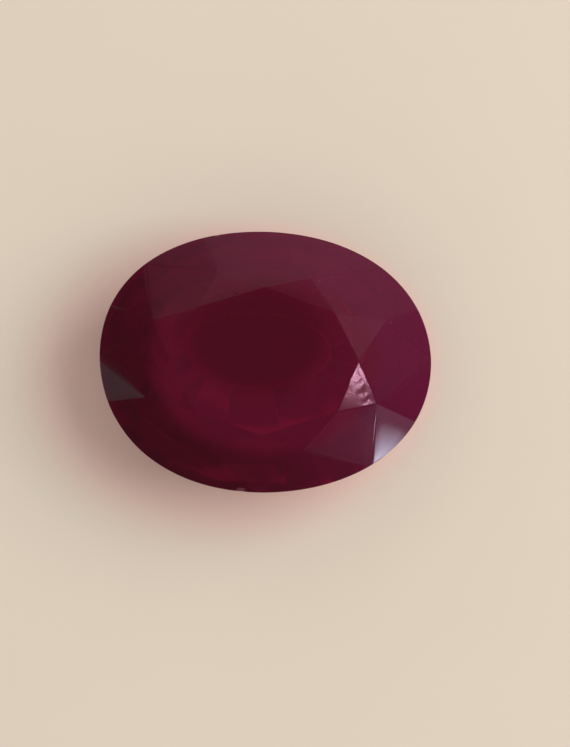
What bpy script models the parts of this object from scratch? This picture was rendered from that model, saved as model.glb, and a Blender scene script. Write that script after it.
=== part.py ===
"""A loose oval ruby, cut with a brilliant crown and a step pavilion.

The stone stands table up on its flat culet. Its frame has +X along the long axis, +Y along the
short axis and +Z out of the table, with the origin under the middle of the girdle, on the surface
that the stone stands on. All lengths are in metres and all azimuths in degrees, counted from +X
towards +Y.

The stone is made as a lapidary makes one. A straight-sided oval blank is cut by one plane for
each facet, and whatever lies outside the plane is taken off. Radii on the crown are shares of the
oval's own radius, so that 1 is the girdle and one number serves both axes. The pavilion is cut in
tiers, each at nearly one angle all round, so its steps are given by how far they lie inside the
girdle.
"""

import math
from typing import NamedTuple

import bmesh
import bpy
from mathutils import Vector

LENGTH = 0.00900
WIDTH = 0.00708
CROWN_HEIGHT = 0.00120
GIRDLE_THICKNESS = 0.00022
PAVILION_DEPTH = 0.00255

TABLE_RADIUS = 0.56

# The tiers between girdle and culet: how far inside the girdle each one ends, and the share of
# the pavilion's depth that is reached there. The last one leaves a wide flat culet.
PAVILION_TIERS = (
    (0.00060, 0.32),
    (0.00135, 0.64),
    (0.00250, 1.00),
)
# How far the culet's middle lies from the girdle's middle, along the two axes.
CULET_SHIFT = (-0.00020, 0.00030)

# The girdle isn't a true oval. It is a little square-shouldered and a little three-sided:
# waves round the outline, amplitude as a share of the radius, and azimuth of one crest.
OUTLINE_WAVES = (
    (3, 0.0069, 13.8),
    (4, 0.0104, -40.4),
)
OUTLINE_POINTS = 144


class CrownCut(NamedTuple):
    """One kite-shaped main facet of the crown, and how the facets after it are cut."""

    main: float  # the azimuth that the main faces
    corner: float  # the azimuth of the table's corner on it
    tip_share: float  # the share of the crown's height where the next star has its tip
    girdle: float  # the azimuth of the girdle point that the next two girdle facets share


# The eight mains, anticlockwise from the long axis. The cutting is by hand and uneven.
CROWN_CUTS = (
    CrownCut(4, 4, 0.60, 26),
    CrownCut(47, 44, 0.81, 69),
    CrownCut(91, 91, 0.77, 113),
    CrownCut(136, 136, 0.75, 158),
    CrownCut(181, 180, 0.67, 201),
    CrownCut(225, 224, 0.75, 248),
    CrownCut(270, 270, 0.78, 292),
    CrownCut(311, 321, 0.78, 336),
)

# Levels above the surface that the stone stands on.
GIRDLE_BOTTOM = PAVILION_DEPTH
GIRDLE_TOP = GIRDLE_BOTTOM + GIRDLE_THICKNESS
TABLE_LEVEL = GIRDLE_TOP + CROWN_HEIGHT

# Points nearer than this are one point.
MERGE_DISTANCE = 1e-6

RUBY_COLOUR = (0.33, 0.006, 0.035, 1.0)
RUBY_ROUGHNESS = 0.04
RUBY_REFRACTIVE_INDEX = 1.765


def clear_scene():
    for item in list(bpy.data.objects):
        bpy.data.objects.remove(item)


def outline_radius(azimuth):
    """The girdle's radius at an azimuth, as a share of the true oval's."""
    waves = (
        size * math.cos(count * math.radians(azimuth - crest))
        for count, size, crest in OUTLINE_WAVES
    )
    return 1.0 + sum(waves)


def on_oval(radius, azimuth, level):
    """A point of the stone, from a share of the oval's radius, an azimuth and a level."""
    turn = math.radians(azimuth)
    return Vector(
        (radius * math.cos(turn) * LENGTH / 2, radius * math.sin(turn) * WIDTH / 2, level)
    )


def on_outline(azimuth, level):
    return on_oval(outline_radius(azimuth), azimuth, level)


def outward(azimuth):
    """The level direction that points straight out of the oval at an azimuth."""
    turn = math.radians(azimuth)
    direction = Vector((math.cos(turn) / (LENGTH / 2), math.sin(turn) / (WIDTH / 2), 0.0))
    return direction.normalized()


def sloping_plane(azimuth, outer, inner):
    """The plane that faces straight out at an azimuth and runs through two points there."""
    out = outward(azimuth)
    run = (outer - inner).dot(out)
    normal = out + Vector((0.0, 0.0, run / (inner.z - outer.z)))
    return outer, normal.normalized()


def plane_through(first, second, third):
    """The plane through three points of the crown, facing up and out."""
    normal = (second - first).cross(third - first).normalized()
    return first, normal if normal.z > 0 else -normal


def crown_level(share):
    return GIRDLE_TOP + share * CROWN_HEIGHT


def main_distance(azimuth, share):
    """How far a main's level line lies from the axis at a share of the crown's height."""
    girdle = outline_radius(azimuth)
    return girdle + (TABLE_RADIUS - girdle) * share


def star_tip(cut, next_cut):
    """The point where two neighbouring mains and the star between them meet."""
    share = cut.tip_share
    first, second = math.radians(cut.main), math.radians(next_cut.main)
    near, far = main_distance(cut.main, share), main_distance(next_cut.main, share)
    span = math.sin(second - first)
    along = (near * math.sin(second) - far * math.sin(first)) / span
    across = (far * math.cos(first) - near * math.cos(second)) / span
    return Vector((along * LENGTH / 2, across * WIDTH / 2, crown_level(share)))


def table_corner(cut):
    """The table's corner on a main, which may stand a little to one side of its middle."""
    radius = TABLE_RADIUS / math.cos(math.radians(cut.corner - cut.main))
    return on_oval(radius, cut.corner, TABLE_LEVEL)


def main_planes():
    """The eight kites that run from the table's corners to the girdle."""
    planes = []
    for cut in CROWN_CUTS:
        girdle = on_outline(cut.main, GIRDLE_TOP)
        table = on_oval(TABLE_RADIUS, cut.main, TABLE_LEVEL)
        planes.append(sloping_plane(cut.main, girdle, table))
    return planes


def crown_neighbours():
    """Each row of CROWN_CUTS with the row after it, round the crown."""
    return zip(CROWN_CUTS, CROWN_CUTS[1:] + CROWN_CUTS[:1])


def star_planes():
    """The eight triangles that lie along the table's edges."""
    return [
        plane_through(table_corner(cut), table_corner(next_cut), star_tip(cut, next_cut))
        for cut, next_cut in crown_neighbours()
    ]


def upper_girdle_planes():
    """The sixteen triangles between the mains and the girdle, two below each star."""
    planes = []
    for cut, next_cut in crown_neighbours():
        tip = star_tip(cut, next_cut)
        middle = on_outline(cut.girdle, GIRDLE_TOP)
        planes.append(plane_through(tip, on_outline(cut.main, GIRDLE_TOP), middle))
        planes.append(plane_through(tip, middle, on_outline(next_cut.main, GIRDLE_TOP)))
    return planes


def tier_end(azimuth, inset, depth_share):
    """The point where a tier of the pavilion ends, straight inside the girdle at an azimuth."""
    shift = Vector((*CULET_SHIFT, -PAVILION_DEPTH)) * depth_share
    return on_outline(azimuth, GIRDLE_BOTTOM) - outward(azimuth) * inset + shift


def pavilion_planes():
    """Three tiers of sixteen steps, from the girdle down to the culet."""
    azimuths = [azimuth for cut in CROWN_CUTS for azimuth in (cut.main, cut.girdle)]
    planes = []
    for azimuth in azimuths:
        outer = on_outline(azimuth, GIRDLE_BOTTOM)
        for tier in PAVILION_TIERS:
            inner = tier_end(azimuth, *tier)
            planes.append(sloping_plane(azimuth, outer, inner))
            outer = inner
    return planes


def add_blank(stone):
    """The straight-sided blank: the girdle's outline, from the culet's level to the table's."""
    azimuths = [360 * number / OUTLINE_POINTS for number in range(OUTLINE_POINTS)]
    ring = [stone.verts.new(on_outline(azimuth, 0.0)) for azimuth in azimuths]
    floor = stone.faces.new(ring)
    raised = bmesh.ops.extrude_face_region(stone, geom=[floor])
    top = [item for item in raised["geom"] if isinstance(item, bmesh.types.BMVert)]
    bmesh.ops.translate(stone, verts=top, vec=(0, 0, TABLE_LEVEL))
    bmesh.ops.recalc_face_normals(stone, faces=stone.faces)


def cut_facet(stone, plane):
    """Takes off all that lies outside a plane, and closes the stone with one flat facet."""
    point, normal = plane
    bmesh.ops.bisect_plane(
        stone,
        geom=[*stone.verts, *stone.edges, *stone.faces],
        dist=MERGE_DISTANCE,
        plane_co=point,
        plane_no=normal,
        clear_outer=True,
    )
    bmesh.ops.holes_fill(stone, edges=[edge for edge in stone.edges if edge.is_boundary])


def fit_to_size(stone):
    """Sets the middle over the origin, and takes up what the waves add to the length and width."""
    along = [vertex.co.x for vertex in stone.verts]
    across = [vertex.co.y for vertex in stone.verts]
    middle = Vector(((min(along) + max(along)) / 2, (min(across) + max(across)) / 2, 0))
    stretch = (LENGTH / (max(along) - min(along)), WIDTH / (max(across) - min(across)), 1)
    bmesh.ops.translate(stone, verts=stone.verts, vec=-middle)
    bmesh.ops.scale(stone, verts=stone.verts, vec=stretch)


def cut_stone():
    """The whole stone as a mesh, every facet one flat face."""
    stone = bmesh.new()
    add_blank(stone)
    for plane in main_planes() + upper_girdle_planes() + star_planes() + pavilion_planes():
        cut_facet(stone, plane)
    bmesh.ops.remove_doubles(stone, verts=stone.verts, dist=MERGE_DISTANCE)
    fit_to_size(stone)
    bmesh.ops.recalc_face_normals(stone, faces=stone.faces)
    return stone


def ruby_material():
    material = bpy.data.materials.new("ruby")
    material.use_nodes = True
    shader = material.node_tree.nodes["Principled BSDF"]
    shader.inputs["Base Color"].default_value = RUBY_COLOUR
    shader.inputs["Roughness"].default_value = RUBY_ROUGHNESS
    shader.inputs["Metallic"].default_value = 0.0
    shader.inputs["IOR"].default_value = RUBY_REFRACTIVE_INDEX
    shader.inputs["Transmission Weight"].default_value = 1.0
    return material


def add_ruby():
    stone = cut_stone()
    mesh = bpy.data.meshes.new("ruby")
    stone.to_mesh(mesh)
    stone.free()
    mesh.materials.append(ruby_material())
    ruby = bpy.data.objects.new("ruby", mesh)
    bpy.context.scene.collection.objects.link(ruby)
    return ruby


clear_scene()
add_ruby()
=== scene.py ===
"""A loose oval ruby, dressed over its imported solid, on a pale surface under soft light."""

import math
from typing import NamedTuple

import bmesh
import bpy
from bpy.props import FloatProperty, FloatVectorProperty, PointerProperty
from mathutils import Matrix, Vector, noise
from mathutils.geometry import intersect_point_line


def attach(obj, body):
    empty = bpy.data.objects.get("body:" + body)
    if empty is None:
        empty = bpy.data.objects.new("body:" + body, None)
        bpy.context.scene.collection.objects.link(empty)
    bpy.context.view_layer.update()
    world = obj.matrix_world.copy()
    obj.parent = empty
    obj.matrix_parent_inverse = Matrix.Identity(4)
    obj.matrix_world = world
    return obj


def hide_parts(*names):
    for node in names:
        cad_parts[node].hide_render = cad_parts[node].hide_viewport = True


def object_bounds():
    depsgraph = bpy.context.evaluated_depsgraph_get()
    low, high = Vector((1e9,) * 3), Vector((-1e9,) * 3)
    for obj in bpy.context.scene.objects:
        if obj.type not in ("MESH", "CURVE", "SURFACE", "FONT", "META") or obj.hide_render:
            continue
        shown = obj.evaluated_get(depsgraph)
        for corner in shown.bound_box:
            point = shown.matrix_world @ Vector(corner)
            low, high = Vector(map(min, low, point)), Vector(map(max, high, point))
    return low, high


bl_info = {
    "name": "Cut oval ruby",
    "version": (1, 0, 0),
    "blender": (4, 5, 0),
    "location": "3D View > Sidebar > Ruby",
    "description": "Models a cut oval ruby with worn facets, and a stage to show it on",
    "category": "Add Mesh",
}

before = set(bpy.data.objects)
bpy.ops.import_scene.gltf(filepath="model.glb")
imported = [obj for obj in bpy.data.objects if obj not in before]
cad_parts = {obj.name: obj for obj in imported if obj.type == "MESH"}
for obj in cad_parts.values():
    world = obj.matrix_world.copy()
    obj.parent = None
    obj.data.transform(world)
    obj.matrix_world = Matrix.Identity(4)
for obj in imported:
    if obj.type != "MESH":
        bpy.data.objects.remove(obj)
SOLID_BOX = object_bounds()

MM = 0.001
MERGE_DISTANCE = 1e-7
TABLE_LEVEL = SOLID_BOX[1].z
# The girdle's middle, and a level just under the whole girdle.
GIRDLE_LEVEL = 0.67 * TABLE_LEVEL
UNDER_GIRDLE = 0.60 * TABLE_LEVEL

# Faces that meet at less than this angle are one facet, and facets that meet at more than the
# other one have a worn junction between them.
FLAT_ANGLE = math.radians(1.0)
WORN_ANGLE = math.radians(6.0)
# The upright part of a face's normal, at most for the girdle, and at least for a crown facet and
# for the table.
GIRDLE_TILT = 0.2
CROWN_TILT = 0.1
TABLE_TILT = 0.999
# Smaller faces of the crown are its worn edges, not facets.
SMALLEST_FACET = 0.3 * MM * MM
# The wear of the pavilion's junctions, as a share of the crown's, and the length of the shortest
# junction that is worn, in wear widths.
PAVILION_WEAR = 0.35
SHORTEST_WORN = 4.0

# The narrow strip along each side of a crown facet that stays flat, and how often the rest of the
# facet is cut to shape it.
FACET_RIM = 0.015 * MM
FACET_CUTS = 11
PITTED_CUTS = 39

# Points of the crown seen from above, in mm, that tell its facets apart.
PITTED_STAR = (2.50, -0.65)
WINDOW_FACET = (3.70, -2.00)

# The pits are cones, cut off at the facet's surface: how deep their tips are, and what they lose
# in depth on the way to the next one, both as shares of the pit depth. They come and go over a
# length, in pit sizes.
PIT_TIP = 0.55
PIT_CONE = 0.7
PIT_DRIFT_LENGTH = 4.0

# Small chips: where each is seen from above, and how far it reaches, in mm.
CHIPS = (
    (1.36, 2.24, 0.045),
    (3.34, 1.22, 0.045),
    (-0.87, 1.79, 0.035),
    (-1.42, 3.36, 0.085),
    (-0.51, -3.49, 0.140),
)
# How often the mesh round a chip is cut to be finer, and how far from the chip, in its reaches.
CHIP_CUTS = 3
CHIP_SURROUNDINGS = 2.0
# A chip's depth, and the length of its ripples, as shares of its reach. The ripples' height is a
# share of the depth, which is a little less than full between them.
CHIP_DEPTH = 0.35
CHIP_RIPPLE_LENGTH = 0.4
CHIP_RIPPLE = 0.6
CHIP_EVEN_DEPTH = 0.7


class Oval(NamedTuple):
    """An oval seen from above: its middle, its half sizes along the two axes, and where its soft
    edge starts and ends, as shares of its radius."""

    middle: tuple
    half: tuple
    inner: float
    outer: float


# Painted shade and light in the crystal's colour: a darker heart, painted shade where the table
# looks through to the shadow under the stone, and a brighter ring round it, painted light where
# the pavilion reflects light back up.
SHADED_HEART = Oval((-0.24 * MM, 0.62 * MM), (1.95 * MM, 1.50 * MM), 0.7, 1.3)
LIT_RING = Oval((0.0, -0.05 * MM), (3.08 * MM, 2.32 * MM), 0.9, 1.1)
# How fine the noise that makes the edges of the painted heart and ring uneven is, per metre, and
# how much it moves those edges, as shares of their radii.
EDGE_WOBBLE_SCALE = 260.0
SHADED_HEART_DRIFT = 0.12
LIT_RING_DRIFT = 0.06
# The values that a noise texture mostly stays between.
NOISE_LOW = 0.3
NOISE_HIGH = 0.7
# The azimuth of the side that the crystal's colour is painted lit on, as if by the key light, with
# the opposite side painted in shade, and how far from the stone's middle the painted light reaches
# its full brightness there.
PAINTED_LIGHT_AZIMUTH = 40.0
PAINTED_LIGHT_REACH = 3.5 * MM

# How fine the smudges on the polish are, per metre, and the values of their noise texture where
# they start and where they are full.
SMUDGE_SCALE = 700.0
SMUDGE_START = 0.5
SMUDGE_FULL = 0.75
# What the smudges, the pits and the frosted parts add to the polish's roughness, and how rough a
# chip's scar is, as a share of the frosted girdle's roughness.
SMUDGE_ROUGHNESS = 0.05
PIT_ROUGHNESS = 0.08
FROST_ROUGHNESS = 0.40
SCAR_SHARE = 0.5


class RubyStoneSettings(bpy.types.PropertyGroup):
    edge_wear: FloatProperty(
        name="Edge Wear",
        description="Width of the rounding along the facet junctions",
        default=0.012 * MM,
        min=0.0,
        unit="LENGTH",
    )
    facet_bulge: FloatProperty(
        name="Facet Bulge",
        description="Rise of a crown facet's middle over its sides, as a share of its width",
        default=0.010,
        min=0.0,
        max=0.05,
        subtype="FACTOR",
    )
    pit_depth: FloatProperty(
        name="Pit Depth",
        description="Depth of the pits in the rough star facet",
        default=0.0055 * MM,
        min=0.0,
        unit="LENGTH",
    )
    pit_size: FloatProperty(
        name="Pit Size",
        description="Distance between the pits in the rough star facet",
        default=0.16 * MM,
        min=0.01 * MM,
        unit="LENGTH",
    )
    # The two colours of the painted light and shade across the crystal: brighter on the side the
    # light comes from, darker on the side away from it.
    painted_lit_side_colour: FloatVectorProperty(
        name="Bright Side Colour",
        description="Colour of the crystal where it is palest",
        default=(0.92, 0.048, 0.290),
        subtype="COLOR",
        size=3,
        min=0.0,
        max=1.0,
    )
    painted_shaded_side_colour: FloatVectorProperty(
        name="Dark Side Colour",
        description="Colour of the crystal on the side away from the pale one",
        default=(0.45, 0.019, 0.098),
        subtype="COLOR",
        size=3,
        min=0.0,
        max=1.0,
    )
    # The colour of the painted shade in the heart.
    heart_shade_colour: FloatVectorProperty(
        name="Heart Colour",
        description="Colour of the crystal's darker heart",
        default=(0.59, 0.023, 0.125),
        subtype="COLOR",
        size=3,
        min=0.0,
        max=1.0,
    )
    # The colour of the painted light in the ring round the heart.
    ring_light_colour: FloatVectorProperty(
        name="Ring Colour",
        description="Colour of the brighter ring round the heart",
        default=(0.89, 0.034, 0.205),
        subtype="COLOR",
        size=3,
        min=0.0,
        max=1.0,
    )
    scar_colour: FloatVectorProperty(
        name="Scar Colour",
        description="Colour of the frosted scars where the stone is chipped",
        default=(1.0, 0.28, 0.44),
        subtype="COLOR",
        size=3,
        min=0.0,
        max=1.0,
    )
    absorption_colour: FloatVectorProperty(
        name="Absorption Colour",
        description="Colour that the crystal lets through",
        default=(0.62, 0.10, 0.40),
        subtype="COLOR",
        size=3,
        min=0.0,
        max=1.0,
    )
    absorption_density: FloatProperty(
        name="Absorption Density",
        description="How strongly the crystal absorbs, per metre",
        default=520.0,
        min=0.0,
    )
    clearness: FloatProperty(
        name="Clearness",
        description="Share of the light that passes the fine silk in the crystal",
        default=0.88,
        min=0.0,
        max=1.0,
        subtype="FACTOR",
    )
    polish_roughness: FloatProperty(
        name="Polish Roughness",
        description="Roughness of the polished facets",
        default=0.06,
        min=0.0,
        max=1.0,
        subtype="FACTOR",
    )
    refractive_index: FloatProperty(
        name="Refractive Index",
        description="Refractive index of corundum",
        default=1.765,
        min=1.0,
        max=3.0,
    )


class RubyStageSettings(bpy.types.PropertyGroup):
    surface_colour: FloatVectorProperty(
        name="Surface Colour",
        description="Colour of the surface that the stone lies on",
        default=(0.81, 0.73, 0.63),
        subtype="COLOR",
        size=3,
        min=0.0,
        max=1.0,
    )
    glow_colour: FloatVectorProperty(
        name="Glow Colour",
        description="Colour of the surface where light from the stone falls on it",
        default=(0.93, 0.66, 0.60),
        subtype="COLOR",
        size=3,
        min=0.0,
        max=1.0,
    )
    key_power: FloatProperty(
        name="Key Light",
        description="Power of the main softbox",
        default=0.42,
        min=0.0,
        unit="POWER",
    )
    camera_distance: FloatProperty(
        name="Camera Distance",
        description="Height of the camera over the girdle",
        default=0.120,
        min=0.01,
        unit="LENGTH",
    )
    picture_height: FloatProperty(
        name="Picture Height",
        description="What the picture's long side spans at the girdle",
        default=0.02028,
        min=0.001,
        unit="LENGTH",
    )


# The stone's mesh


def whole_facets(node):
    """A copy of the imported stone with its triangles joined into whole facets."""
    stone = bmesh.new()
    stone.from_mesh(node.data)
    bmesh.ops.remove_doubles(stone, verts=stone.verts, dist=MERGE_DISTANCE)
    bmesh.ops.dissolve_limit(stone, angle_limit=FLAT_ANGLE, verts=stone.verts, edges=stone.edges)
    bmesh.ops.recalc_face_normals(stone, faces=stone.faces)
    return stone


def from_above(spot):
    """The place of a point seen from above, which is given in mm."""
    return Vector((spot[0] * MM, spot[1] * MM))


def on_facet(facet, spot):
    """The point of a facet's plane that is right under a point seen from above."""
    corner, normal = facet.verts[0].co, facet.normal
    aim = from_above(spot)
    level = corner.z + (corner.xy - aim).dot(normal.xy) / normal.z
    return Vector((*aim, level))


def crown_facets(stone):
    """The large faces of the upper side, the table among them."""
    return [
        face
        for face in stone.faces
        if face.normal.z > CROWN_TILT and face.calc_area() > SMALLEST_FACET
    ]


def facet_under(stone, spot):
    """The crown facet that a point seen from above falls on."""
    return min(crown_facets(stone), key=lambda facet: on_facet(facet, spot).z)


def nearest_vertex(stone, spot):
    """The point of the girdle or crown nearest to a point seen from above."""
    aim = from_above(spot)
    upper = [vertex for vertex in stone.verts if vertex.co.z > UNDER_GIRDLE]
    return min(upper, key=lambda vertex: (vertex.co.xy - aim).length)


def wear_edges(stone, side, width):
    """Rounds the junctions of the polished facets of the upper side, 1, or the lower one, -1."""
    worn = [
        edge
        for edge in stone.edges
        if edge.calc_length() > SHORTEST_WORN * width
        and edge.calc_face_angle() > WORN_ANGLE
        and all(face.normal.z * side > GIRDLE_TILT for face in edge.link_faces)
    ]
    rounded = bmesh.ops.bevel(
        stone,
        geom=worn,
        offset=width,
        offset_type="OFFSET",
        affect="EDGES",
        segments=2,
        profile=0.5,
        material=-1,
        clamp_overlap=True,
    )
    for face in rounded["faces"]:
        face.smooth = True


def border_distance(point, corners):
    """A smooth distance of a point of a facet from all its sides, long sides counting more."""
    sides = list(zip(corners, corners[1:] + corners[:1]))
    girth = sum((end - start).length for start, end in sides)
    closeness = 0.0
    for start, end in sides:
        nearest = intersect_point_line(point, start, end)[0]
        closeness += (end - start).length / girth / (point - nearest).length_squared
    return closeness**-0.5


def edges_of(faces):
    """The edges of some faces, each once, in the faces' own order."""
    return list(dict.fromkeys(edge for face in faces for edge in face.edges))


def refine(stone, facet, cuts, mark):
    """Splits a flat facet into a fine grid, and gives the points inside it with their distances
    from its sides."""
    corners = [corner.co.copy() for corner in facet.verts]
    facet[mark] = 1
    parts = [facet]
    if len(corners) > 3:
        parts = bmesh.ops.triangulate(stone, faces=[facet])["faces"]
    bmesh.ops.subdivide_edges(stone, edges=edges_of(parts), cuts=cuts, use_grid_fill=True)
    grid = {face for face in stone.faces if face[mark]}
    for face in grid:
        face.smooth = True
        face[mark] = 0
    points = {vertex for face in grid for vertex in face.verts}
    inner = [vertex for vertex in points if grid.issuperset(vertex.link_faces)]
    return [(vertex, border_distance(vertex.co, corners)) for vertex in inner]


def pit_depth(point, size):
    """How deep the rough facet is pitted at a point, from 0 to 1."""
    nearest = noise.voronoi(point / size)[0][0]
    drift = noise.noise(point / (size * PIT_DRIFT_LENGTH))
    return min(max(PIT_TIP - PIT_CONE * nearest + drift, 0.0), 1.0)


def bulge(stone, facet, mark, amount):
    """Rounds the polish of a facet a little, by a share of the facet's width."""
    facing = facet.normal.copy()
    points = refine(stone, facet, FACET_CUTS, mark)
    widest = max(distance for _, distance in points)
    for vertex, distance in points:
        share = 1.0 - distance / widest
        vertex.co += facing * amount * widest * (1.0 - share * share)


def pit(stone, facet, mark, pitted_mask, settings):
    """Breaks the surface of a facet into pits, which are shallower next to its sides."""
    facing = facet.normal.copy()
    for corner in facet.verts:
        corner[pitted_mask] = 1.0
    for vertex, distance in refine(stone, facet, PITTED_CUTS, mark):
        fade = min(distance / settings.pit_size, 1.0)
        depth = settings.pit_depth * pit_depth(vertex.co, settings.pit_size)
        vertex.co -= facing * fade * depth
        vertex[pitted_mask] = 1.0


def shape_facets(stone, pitted_mask, settings):
    """Shapes the surface of each crown facet but the table, inside a narrow flat rim."""
    mark = stone.faces.layers.int.new("in_work")
    pitted = facet_under(stone, PITTED_STAR)
    facets = [facet for facet in crown_facets(stone) if facet.normal.z < TABLE_TILT]
    rims = bmesh.ops.inset_individual(
        stone, faces=facets, thickness=FACET_RIM, use_even_offset=True
    )
    for face in rims["faces"]:
        face.smooth = True
    for facet in facets:
        if facet == pitted:
            pit(stone, facet, mark, pitted_mask, settings)
        else:
            bulge(stone, facet, mark, settings.facet_bulge)
    stone.faces.layers.int.remove(mark)


def break_chip(stone, spot, reach, mask):
    """Breaks a small hollow chip out of the stone, on a locally finer mesh."""
    corner = nearest_vertex(stone, spot)
    middle, inward = corner.co.copy(), -corner.normal
    near = [
        face
        for face in stone.faces
        if face.calc_area() < SMALLEST_FACET
        and (face.calc_center_median() - middle).length < CHIP_SURROUNDINGS * reach
    ]
    bmesh.ops.subdivide_edges(stone, edges=edges_of(near), cuts=CHIP_CUTS, use_grid_fill=True)
    shares = {vertex: (vertex.co - middle).length / reach for vertex in stone.verts}
    for face in stone.faces:
        if all(shares[vertex] < 1.0 for vertex in face.verts):
            face[mask] = 1.0
            face.smooth = False
    for vertex, share in shares.items():
        if share < 1.0:
            ripple = noise.noise(vertex.co / (CHIP_RIPPLE_LENGTH * reach))
            depth = reach * CHIP_DEPTH * (CHIP_EVEN_DEPTH + CHIP_RIPPLE * ripple)
            vertex.co += inward * depth * (1.0 - share * share)


def mark_girdle(stone, mask):
    """Marks the ground band round the stone, which isn't polished."""
    for face in stone.faces:
        if abs(face.normal.z) < GIRDLE_TILT:
            face[mask] = 1.0


def stone_mesh(settings):
    """The dressed stone: worn, shaped facet by facet and chipped."""
    stone = whole_facets(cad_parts["ruby"])
    pitted = stone.verts.layers.float.new("pitted")
    ground = stone.faces.layers.float.new("ground")
    scarred = stone.faces.layers.float.new("scarred")
    wear_edges(stone, 1, settings.edge_wear)
    wear_edges(stone, -1, settings.edge_wear * PAVILION_WEAR)
    mark_girdle(stone, ground)
    shape_facets(stone, pitted, settings)
    stone.normal_update()
    for x, y, reach in CHIPS:
        break_chip(stone, (x, y), reach * MM, scarred)
    bmesh.ops.triangulate(stone, faces=stone.faces)
    bmesh.ops.recalc_face_normals(stone, faces=stone.faces)
    mesh = bpy.data.meshes.new("ruby_stone")
    stone.to_mesh(mesh)
    stone.free()
    return mesh


# The stone's material


class Tree:
    """Short calls that add and join a material's nodes."""

    def __init__(self, tree):
        self.tree = tree

    def add(self, kind, **settings):
        node = self.tree.nodes.new(kind)
        for name, value in settings.items():
            setattr(node, name, value)
        return node

    def join(self, source, target):
        self.tree.links.new(source, target)

    def feed(self, socket, value):
        """Joins a node's output to a socket, or sets the socket to a plain value or colour."""
        if isinstance(value, bpy.types.NodeSocket):
            self.join(value, socket)
        elif socket.type == "RGBA":
            socket.default_value = (*value, 1.0)
        else:
            socket.default_value = value

    def noise(self, place, scale, detail=3.0, roughness=0.55):
        node = self.add("ShaderNodeTexNoise")
        node.inputs["Scale"].default_value = scale
        node.inputs["Detail"].default_value = detail
        node.inputs["Roughness"].default_value = roughness
        self.join(place, node.inputs["Vector"])
        return node.outputs["Fac"]

    def ranged(self, value, low, high, to_low, to_high):
        node = self.add("ShaderNodeMapRange", interpolation_type="SMOOTHSTEP")
        for name, given in (
            ("Value", value),
            ("From Min", low),
            ("From Max", high),
            ("To Min", to_low),
            ("To Max", to_high),
        ):
            self.feed(node.inputs[name], given)
        return node.outputs["Result"]

    def math(self, operation, *values):
        node = self.add("ShaderNodeMath", operation=operation)
        for socket, value in zip(node.inputs, values):
            self.feed(socket, value)
        return node.outputs[0]

    def along(self, place, direction):
        """How far a place lies along a direction."""
        node = self.add("ShaderNodeVectorMath", operation="DOT_PRODUCT")
        self.join(place, node.inputs[0])
        node.inputs[1].default_value = direction
        return node.outputs["Value"]

    def mixed(self, share, first, second, **settings):
        node = self.add("ShaderNodeMix", data_type="RGBA", **settings)
        self.join(share, node.inputs["Factor"])
        for name, colour in (("A", first), ("B", second)):
            socket = next(s for s in node.inputs if s.name == name and s.type == "RGBA")
            self.feed(socket, colour)
        return next(s for s in node.outputs if s.type == "RGBA")

    def mask(self, name):
        return self.add("ShaderNodeAttribute", attribute_name=name).outputs["Fac"]


# The inputs of the soft oval's node group.
SOFT_OVAL_INPUTS = (
    ("Place", "NodeSocketVector"),
    ("Middle", "NodeSocketVector"),
    ("Half Size", "NodeSocketVector"),
    ("Inner", "NodeSocketFloat"),
    ("Outer", "NodeSocketFloat"),
    ("Drift", "NodeSocketFloat"),
)


def build_soft_oval():
    """The node group of a mask that is full in an oval's middle and fades over its soft edge."""
    group = bpy.data.node_groups.new("soft_oval", "ShaderNodeTree")
    for name, kind in SOFT_OVAL_INPUTS:
        group.interface.new_socket(name, in_out="INPUT", socket_type=kind)
    group.interface.new_socket("Mask", in_out="OUTPUT", socket_type="NodeSocketFloat")
    tree = Tree(group)
    given = tree.add("NodeGroupInput").outputs
    spread = tree.add("ShaderNodeMapping", vector_type="TEXTURE")
    tree.join(given["Place"], spread.inputs["Vector"])
    tree.join(given["Middle"], spread.inputs["Location"])
    tree.join(given["Half Size"], spread.inputs["Scale"])
    radius = tree.add("ShaderNodeVectorMath", operation="LENGTH")
    tree.join(spread.outputs["Vector"], radius.inputs[0])
    moved = tree.math("ADD", radius.outputs["Value"], given["Drift"])
    mask = tree.ranged(moved, given["Inner"], given["Outer"], 1.0, 0.0)
    tree.join(mask, tree.add("NodeGroupOutput").inputs["Mask"])
    return group


def in_oval(tree, place, oval, drift=0.0):
    """Places the soft oval in a material, with the oval's own values, and gives its mask."""
    group = bpy.data.node_groups.get("soft_oval") or build_soft_oval()
    node = tree.add("ShaderNodeGroup", node_tree=group)
    values = (place, (*oval.middle, 0.0), (*oval.half, 0.0), oval.inner, oval.outer, drift)
    for socket, value in zip(node.inputs, values):
        tree.feed(socket, value)
    return node.outputs["Mask"]


def wavy_oval(tree, place, edge_wobble, oval, drift):
    """A mask of an oval whose edge a noise makes uneven, for the painted heart and ring."""
    moved = tree.ranged(edge_wobble, NOISE_LOW, NOISE_HIGH, -drift, drift)
    return in_oval(tree, place, oval, moved)


def painted_light_colour(tree, place, settings):
    """The crystal's colour with painted light and shade: a heart darkened by painted shade, a ring
    round it brightened by painted light, and one side painted lit and the other painted in shade.
    """
    edge_wobble = tree.noise(place, EDGE_WOBBLE_SCALE, 2.0)
    in_shaded_heart = wavy_oval(tree, place, edge_wobble, SHADED_HEART, SHADED_HEART_DRIFT)
    in_lit_ring = wavy_oval(tree, place, edge_wobble, LIT_RING, LIT_RING_DRIFT)
    # Painted light and shade: the colour grows brighter towards the lit side and darker away from
    # it.
    side = tree.along(place, toward(PAINTED_LIGHT_AZIMUTH, 0.0))
    painted_light_share = tree.ranged(side, -PAINTED_LIGHT_REACH, PAINTED_LIGHT_REACH, 0.0, 1.0)
    sides = tree.mixed(painted_light_share, settings.painted_shaded_side_colour, settings.painted_lit_side_colour)
    middle = tree.mixed(in_shaded_heart, settings.ring_light_colour, settings.heart_shade_colour)
    return tree.mixed(in_lit_ring, sides, middle)


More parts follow.
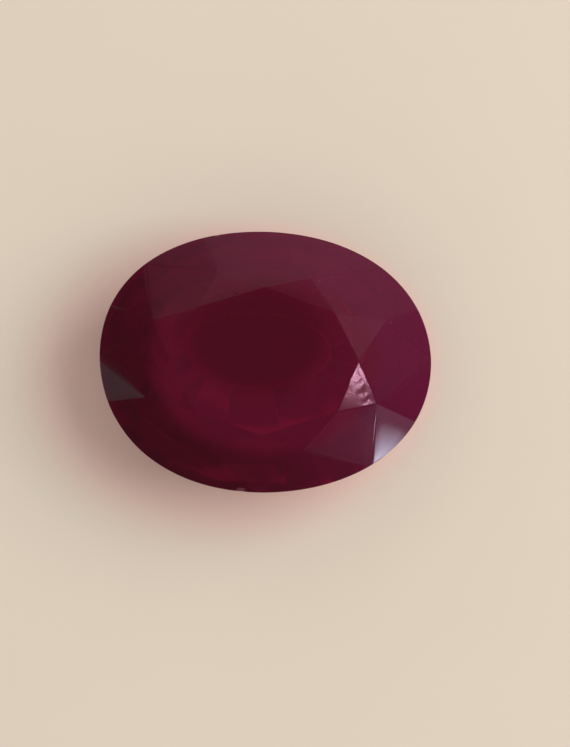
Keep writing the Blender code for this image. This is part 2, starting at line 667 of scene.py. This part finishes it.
def ruby_material(settings):
    """The crystal: see-through, with a fine veil, and rough where it is pitted or frosted."""
    material = bpy.data.materials.new("polished_ruby")
    material.use_nodes = True
    tree = Tree(material.node_tree)
    shader = material.node_tree.nodes["Principled BSDF"]
    output = material.node_tree.nodes["Material Output"]
    shader.inputs["Metallic"].default_value = 0.0
    shader.inputs["IOR"].default_value = settings.refractive_index
    shader.inputs["Transmission Weight"].default_value = settings.clearness

    place = tree.add("ShaderNodeTexCoord").outputs["Object"]
    scarred = tree.mask("scarred")
    # The base colour carries the painted light and shade of the heart, the ring and the sides.
    colour = painted_light_colour(tree, place, settings)
    colour = tree.mixed(scarred, colour, settings.scar_colour)
    tree.join(colour, shader.inputs["Base Color"])

    smear = tree.noise(place, SMUDGE_SCALE, 5.0, 0.65)
    smudges = tree.ranged(smear, SMUDGE_START, SMUDGE_FULL, 0.0, SMUDGE_ROUGHNESS)
    polish = tree.math("ADD", smudges, settings.polish_roughness)
    with_pits = tree.math("MULTIPLY_ADD", tree.mask("pitted"), PIT_ROUGHNESS, polish)
    frost = tree.math("MAXIMUM", tree.mask("ground"), tree.math("MULTIPLY", scarred, SCAR_SHARE))
    roughness = tree.math("MULTIPLY_ADD", frost, FROST_ROUGHNESS, with_pits)
    tree.join(roughness, shader.inputs["Roughness"])

    absorption = tree.add("ShaderNodeVolumeAbsorption")
    absorption.inputs["Color"].default_value = (*settings.absorption_colour, 1.0)
    absorption.inputs["Density"].default_value = settings.absorption_density
    tree.join(absorption.outputs["Volume"], output.inputs["Volume"])
    return material


# The stage


# The camera's turn in degrees, and how far it stands beside the stone's middle in the picture's
# own directions.
CAMERA_TURN = 2.42
CAMERA_ASIDE = (0.536 * MM, -0.304 * MM, 0.0)
# The camera's sensor along the picture's long side, in millimetres as Blender counts it.
SENSOR_SIZE = 36.0


def camera_place(settings):
    """Where the camera stands, and its turn: straight over the stone and a little beside it."""
    turn = Matrix.Rotation(math.radians(CAMERA_TURN), 4, "Z")
    height = Vector((0.0, 0.0, settings.camera_distance + GIRDLE_LEVEL))
    return Matrix.Translation(turn @ Vector(CAMERA_ASIDE) + height) @ turn


def add_camera(settings):
    camera = bpy.data.objects.new("camera", bpy.data.cameras.new("camera"))
    camera.data.sensor_width = SENSOR_SIZE
    camera.data.lens = SENSOR_SIZE * settings.camera_distance / settings.picture_height
    camera.data.clip_start = 0.001
    camera.data.clip_end = 10.0
    camera.matrix_world = camera_place(settings)
    bpy.context.scene.collection.objects.link(camera)
    bpy.context.scene.camera = camera


def toward(azimuth, elevation):
    """A direction, one long, from its azimuth and its elevation in degrees."""
    turn, rise = math.radians(azimuth), math.radians(elevation)
    flat = math.cos(rise)
    return Vector((math.cos(turn) * flat, math.sin(turn) * flat, math.sin(rise)))


def add_lamp(name, place, aim, size, power, colour):
    """A soft square lamp that faces a point."""
    lamp = bpy.data.lights.new(name, "AREA")
    lamp.shape = "SQUARE"
    lamp.size = size
    lamp.energy = power
    lamp.color = colour
    shown = bpy.data.objects.new(name, lamp)
    shown.location = place
    shown.rotation_euler = (aim - place).to_track_quat("-Z", "Y").to_euler()
    bpy.context.scene.collection.objects.link(shown)
    return shown


class Glint(NamedTuple):
    """A small near lamp, brightest in its middle, that one facet mirrors."""

    name: str
    facet: tuple  # a point of the facet, seen from above, in mm
    middle: tuple  # where its middle is mirrored in the facet's plane, seen from above, in mm
    radius: float
    brightness: float
    colour: tuple


GLINT_DISTANCE = 14 * MM
GLINTS = (
    Glint("star_glint", PITTED_STAR, (2.45, -0.25), 0.45 * MM, 42.0, (1.0, 0.54, 0.74)),
    Glint("window_glint", WINDOW_FACET, (3.24, -2.82), 1.50 * MM, 7.2, (0.76, 0.80, 1.0)),
)


def fade_lamp(lamp):
    """Makes a lamp brightest in its middle and dark at its sides."""
    lamp.use_nodes = True
    tree = Tree(lamp.node_tree)
    place = tree.add("ShaderNodeNewGeometry").outputs["Parametric"]
    spread = tree.add("ShaderNodeMapping", vector_type="POINT")
    spread.inputs["Scale"].default_value = (2.0, 2.0, 0.0)
    spread.inputs["Location"].default_value = (-1.0, -1.0, 0.0)
    tree.join(place, spread.inputs["Vector"])
    fade = tree.add("ShaderNodeTexGradient", gradient_type="SPHERICAL")
    tree.join(spread.outputs["Vector"], fade.inputs["Vector"])
    tree.join(fade.outputs["Fac"], lamp.node_tree.nodes["Emission"].inputs["Strength"])


def add_glints(settings):
    """The small lamps, each where the camera sees its facet mirror it."""
    camera = camera_place(settings).translation
    stone = whole_facets(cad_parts["ruby"])
    for row in GLINTS:
        facet = facet_under(stone, row.facet)
        middle = on_facet(facet, row.middle)
        sight = (middle - camera).normalized()
        place = middle + sight.reflect(facet.normal) * GLINT_DISTANCE
        size = 2 * row.radius
        power = row.brightness * math.pi * size * size
        glint = add_lamp(row.name, place, middle, size, power, row.colour)
        glint.visible_camera = False
        glint.visible_diffuse = False
        glint.visible_transmission = False
        fade_lamp(glint.data)
    stone.free()


# The main softbox: its azimuth and elevation in degrees, and its distance, size and colour.
KEY_AZIMUTH = 20.0
KEY_ELEVATION = 48.0
KEY_DISTANCE = 0.25
KEY_SIZE = 0.20
KEY_COLOUR = (1.0, 0.97, 0.92)


def add_key(settings):
    """The main softbox, which lights the surface and the stone but isn't mirrored in the stone."""
    aim = Vector((0.0, 0.0, UNDER_GIRDLE))
    place = toward(KEY_AZIMUTH, KEY_ELEVATION) * KEY_DISTANCE
    key = add_lamp("key", place, aim, KEY_SIZE, settings.key_power, KEY_COLOUR)
    key.visible_glossy = False
    key.visible_transmission = False


# Where light that has passed the stone tints the surface, to its left and close round it, and
# how strongly.
SURFACE_GLOWS = (
    (Oval((-1.1 * MM, -0.6 * MM), (4.50 * MM, 3.60 * MM), 0.90, 1.40), 0.90),
    (Oval((0.0, 0.0), (4.50 * MM, 3.54 * MM), 0.96, 1.16), 0.85),
)
# How fine the surface's clouds are, per metre, and how bright the darker ones, as a share.
CLOUD_SCALE = 90.0
SURFACE_CLOUDS = 0.94
SURFACE_ROUGHNESS = 0.55
# The surface reaches this far to each side, and lies this far under the stone.
SURFACE_REACH = 0.5
SURFACE_GAP = 0.02 * MM


def surface_material(settings):
    """A smooth pale surface with faint clouds, tinted where light from the stone falls on it."""
    material = bpy.data.materials.new("pale_table")
    material.use_nodes = True
    tree = Tree(material.node_tree)
    shader = material.node_tree.nodes["Principled BSDF"]
    place = tree.add("ShaderNodeTexCoord").outputs["Object"]
    light = settings.surface_colour
    dark = light * SURFACE_CLOUDS
    colour = tree.mixed(tree.noise(place, CLOUD_SCALE), light, dark)
    for oval, strength in SURFACE_GLOWS:
        share = tree.math("MULTIPLY", in_oval(tree, place, oval), strength)
        colour = tree.mixed(share, colour, settings.glow_colour)
    tree.join(colour, shader.inputs["Base Color"])
    shader.inputs["Roughness"].default_value = SURFACE_ROUGHNESS
    return material


def add_surface(settings):
    """The pale surface just under the stone."""
    surface = bmesh.new()
    bmesh.ops.create_grid(surface, x_segments=8, y_segments=8, size=SURFACE_REACH)
    bmesh.ops.translate(surface, verts=surface.verts, vec=(0.0, 0.0, -SURFACE_GAP))
    mesh = bpy.data.meshes.new("pale_table")
    surface.to_mesh(mesh)
    surface.free()
    mesh.materials.append(surface_material(settings))
    shown = bpy.data.objects.new("pale_table", mesh)
    bpy.context.scene.collection.objects.link(shown)
    shown.visible_glossy = False


class RoomGlow(NamedTuple):
    """A soft bright patch of the room: where its middle is and how far it reaches, in degrees,
    and its colour."""

    azimuth: float
    elevation: float
    reach: float
    colour: tuple


ROOM_COLOUR = (0.035, 0.034, 0.036)
# What the crown and the table mirror, and last the pale surface, which the pavilion mirrors.
ROOM_GLOWS = (
    RoomGlow(76, 5, 60, (0.165, 0.14, 0.15)),
    RoomGlow(122, 38, 28, (0.13, 0.105, 0.115)),
    RoomGlow(22, 45, 20, (0.17, 0.12, 0.15)),
    RoomGlow(15, 35, 40, (0.06, 0.05, 0.06)),
    RoomGlow(189, 13, 12, (0.05, 0.20, 0.20)),
    RoomGlow(-43, 9, 20, (0.33, 0.28, 0.38)),
    RoomGlow(0, -90, 84, (0.24, 0.19, 0.17)),
)
# The light that fills the room evenly, and how much of it each kind of ray finds.
ROOM_FILL = (1.0, 0.93, 0.84)
FILL_SHARES = (("Is Diffuse Ray", 0.50), ("Is Transmission Ray", 0.30), ("Is Camera Ray", 0.55))


def room_colour(tree):
    """The colour that the stone mirrors in each direction."""
    ways = tree.add("ShaderNodeTexCoord").outputs["Generated"]
    colour = tree.add("ShaderNodeRGB").outputs[0]
    colour.default_value = (*ROOM_COLOUR, 1.0)
    for glow in ROOM_GLOWS:
        nearness = tree.along(ways, toward(glow.azimuth, glow.elevation))
        rim = math.cos(math.radians(glow.reach))
        share = tree.ranged(nearness, rim, 1.0, 0.0, 1.0)
        colour = tree.mixed(share, colour, glow.colour, blend_type="ADD")
    return colour


def light_world():
    """A dim room for the stone to mirror, brighter for what it lights and for what is seen."""
    world = bpy.data.worlds.new("room")
    world.use_nodes = True
    bpy.context.scene.world = world
    tree = Tree(world.node_tree)
    background = world.node_tree.nodes["Background"]
    rays = tree.add("ShaderNodeLightPath").outputs
    share = 0.0
    for kind, amount in FILL_SHARES:
        share = tree.math("MULTIPLY_ADD", rays[kind], amount, share)
    colour = tree.mixed(share, room_colour(tree), ROOM_FILL, blend_type="ADD")
    tree.join(colour, background.inputs["Color"])


def set_light_paths():
    """Lets light bounce often enough inside the stone, and shows its colours as they are."""
    cycles = bpy.context.scene.cycles
    cycles.max_bounces = 24
    cycles.glossy_bounces = 16
    cycles.transmission_bounces = 16
    bpy.context.scene.view_settings.view_transform = "Standard"


class RUBY_OT_stone(bpy.types.Operator):
    """Add the cut ruby with its worn edges, chips and pits"""

    bl_idname = "ruby.stone"
    bl_label = "Cut Ruby"

    def execute(self, context):
        settings = context.scene.ruby_stone
        stone = bpy.data.objects.new("ruby_stone", stone_mesh(settings))
        stone.data.materials.append(ruby_material(settings))
        context.scene.collection.objects.link(stone)
        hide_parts("ruby")
        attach(stone, "root")
        return {"FINISHED"}


class RUBY_OT_stage(bpy.types.Operator):
    """Add the pale surface, the lamps and the camera"""

    bl_idname = "ruby.stage"
    bl_label = "Stage"

    def execute(self, context):
        settings = context.scene.ruby_stage
        add_surface(settings)
        add_key(settings)
        add_glints(settings)
        light_world()
        add_camera(settings)
        set_light_paths()
        return {"FINISHED"}


class RUBY_PT_panel(bpy.types.Panel):
    bl_label = "Cut Ruby"
    bl_space_type = "VIEW_3D"
    bl_region_type = "UI"
    bl_category = "Ruby"

    def draw(self, context):
        for operator, settings in (
            (RUBY_OT_stone, context.scene.ruby_stone),
            (RUBY_OT_stage, context.scene.ruby_stage),
        ):
            self.layout.operator(operator.bl_idname)
            for name in settings.bl_rna.properties.keys():
                if name not in ("rna_type", "name"):
                    self.layout.prop(settings, name)


CLASSES = (
    RubyStoneSettings,
    RubyStageSettings,
    RUBY_OT_stone,
    RUBY_OT_stage,
    RUBY_PT_panel,
)


def register():
    for each in CLASSES:
        bpy.utils.register_class(each)
    bpy.types.Scene.ruby_stone = PointerProperty(type=RubyStoneSettings)
    bpy.types.Scene.ruby_stage = PointerProperty(type=RubyStageSettings)


def unregister():
    del bpy.types.Scene.ruby_stage
    del bpy.types.Scene.ruby_stone
    for each in reversed(CLASSES):
        bpy.utils.unregister_class(each)


def main():
    register()
    bpy.ops.ruby.stone()
    bpy.ops.ruby.stage()


if __name__ == "__main__":
    main()
